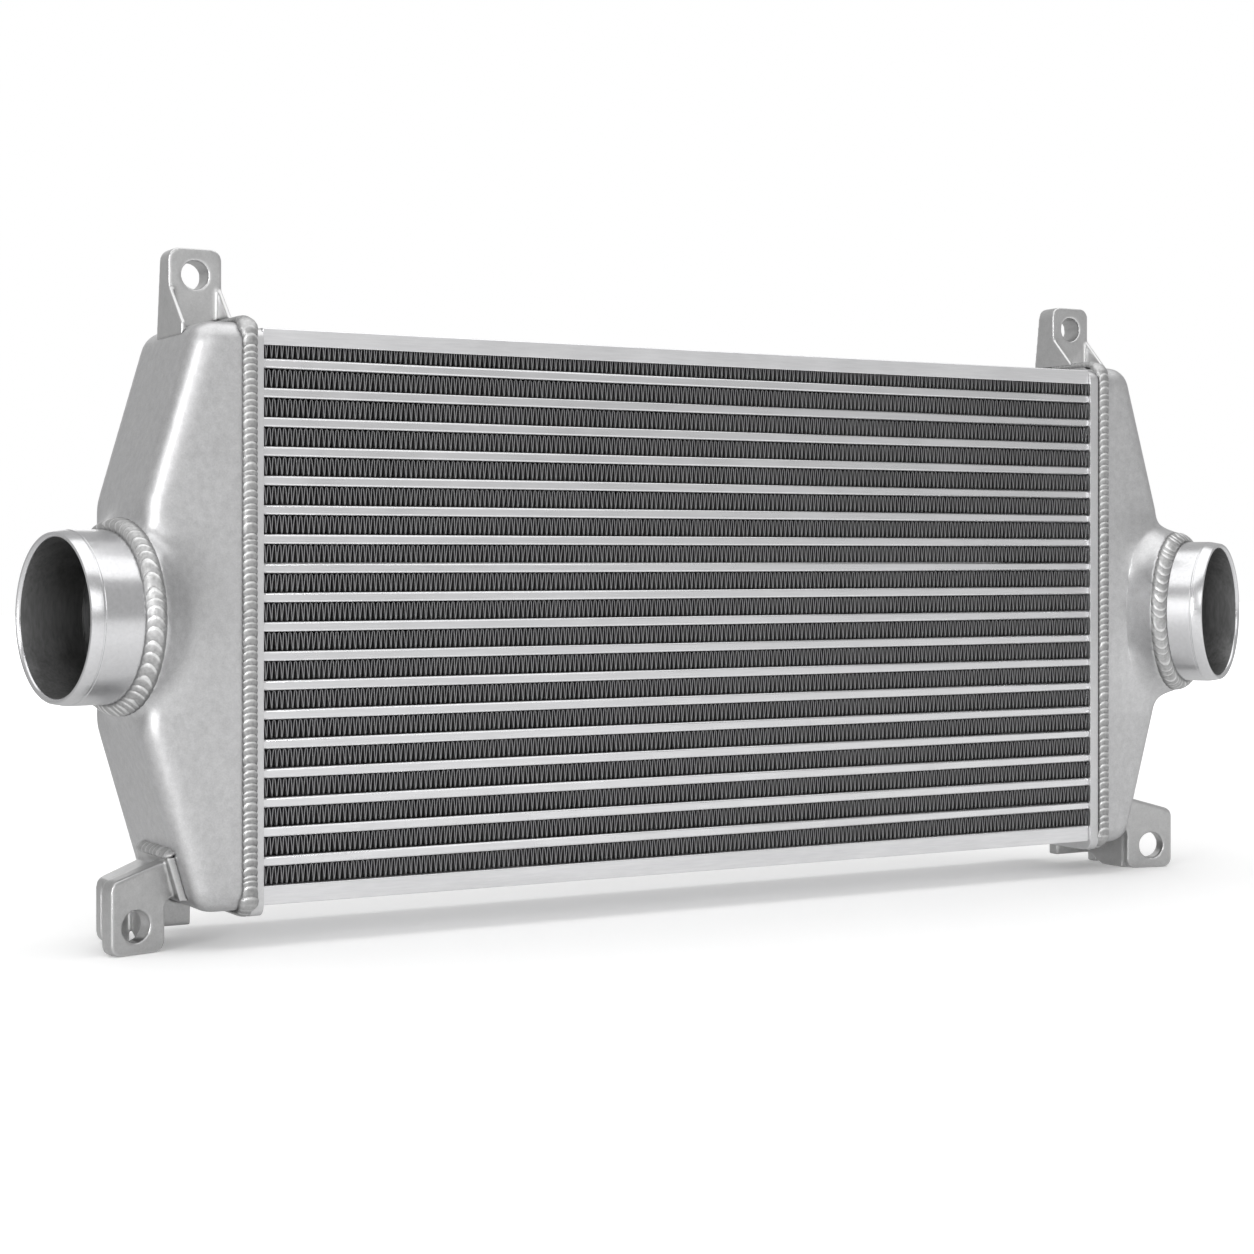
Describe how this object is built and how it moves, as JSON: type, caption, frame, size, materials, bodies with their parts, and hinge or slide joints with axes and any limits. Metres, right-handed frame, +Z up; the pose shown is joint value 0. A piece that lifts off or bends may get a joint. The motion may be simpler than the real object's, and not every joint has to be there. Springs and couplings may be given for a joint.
{
  "type": "intercooler",
  "caption": "Bar-and-plate charge air cooler: a finned core between two cast end tanks with round hose stubs, upper lugs and lower bracket feet.",
  "frame": {"origin": "middle of the core's flat underside", "axes": "+X to the right along the core, +Y from the front to the back, +Z up"},
  "size_m": [0.6715, 0.1223, 0.3106],
  "materials": {
    "air_fin": "rolled sheet, dull from brazing",
    "core_bar": "extruded bar, satin",
    "core_plate": "rolled plate, satin",
    "turbulator": "rolled sheet, dull from brazing",
    "header_frame": "machined, satin",
    "cast_tank": "cast and fine blasted",
    "hose_stub": "turned, bright",
    "weld_bead": "bright stacked weld ripples",
    "upper_lug": "milled and fine blasted",
    "lower_bracket": "cast and fine blasted"
  },
  "bodies": {
    "root": {"air_fin_01": "air_fin", "air_fin_02": "air_fin", "air_fin_03": "air_fin", "air_fin_04": "air_fin", "air_fin_05": "air_fin", "air_fin_06": "air_fin", "air_fin_07": "air_fin", "air_fin_08": "air_fin", "air_fin_09": "air_fin", "air_fin_10": "air_fin", "air_fin_11": "air_fin", "air_fin_12": "air_fin", "air_fin_13": "air_fin", "air_fin_14": "air_fin", "air_fin_15": "air_fin", "air_fin_16": "air_fin", "air_fin_17": "air_fin", "air_fin_18": "air_fin", "air_fin_19": "air_fin", "bracket_weld_left": "weld_bead", "bracket_weld_right": "weld_bead", "charge_tube_01": "core_bar", "charge_tube_02": "core_bar", "charge_tube_03": "core_bar", "charge_tube_04": "core_bar", "charge_tube_05": "core_bar", "charge_tube_06": "core_bar", "charge_tube_07": "core_bar", "charge_tube_08": "core_bar", "charge_tube_09": "core_bar", "charge_tube_10": "core_bar", "charge_tube_11": "core_bar", "charge_tube_12": "core_bar", "charge_tube_13": "core_bar", "charge_tube_14": "core_bar", "charge_tube_15": "core_bar", "charge_tube_16": "core_bar", "charge_tube_17": "core_bar", "charge_tube_18": "core_bar", "charge_turbulators": "turbulator", "end_bars_left": "core_bar", "end_bars_right": "core_bar", "end_tank_left": "cast_tank", "end_tank_right": "cast_tank", "header_frame_left": "header_frame", "header_frame_right": "header_frame", "hose_stub_left": "hose_stub", "hose_stub_right": "hose_stub", "lower_bracket_left": "lower_bracket", "lower_bracket_right": "lower_bracket", "seam_weld_left": "weld_bead", "seam_weld_right": "weld_bead", "side_plate_bottom": "core_plate", "side_plate_top": "core_plate", "stub_weld_left": "weld_bead", "stub_weld_right": "weld_bead", "upper_lug_left": "upper_lug", "upper_lug_right": "upper_lug"}
  },
  "joints": []
}
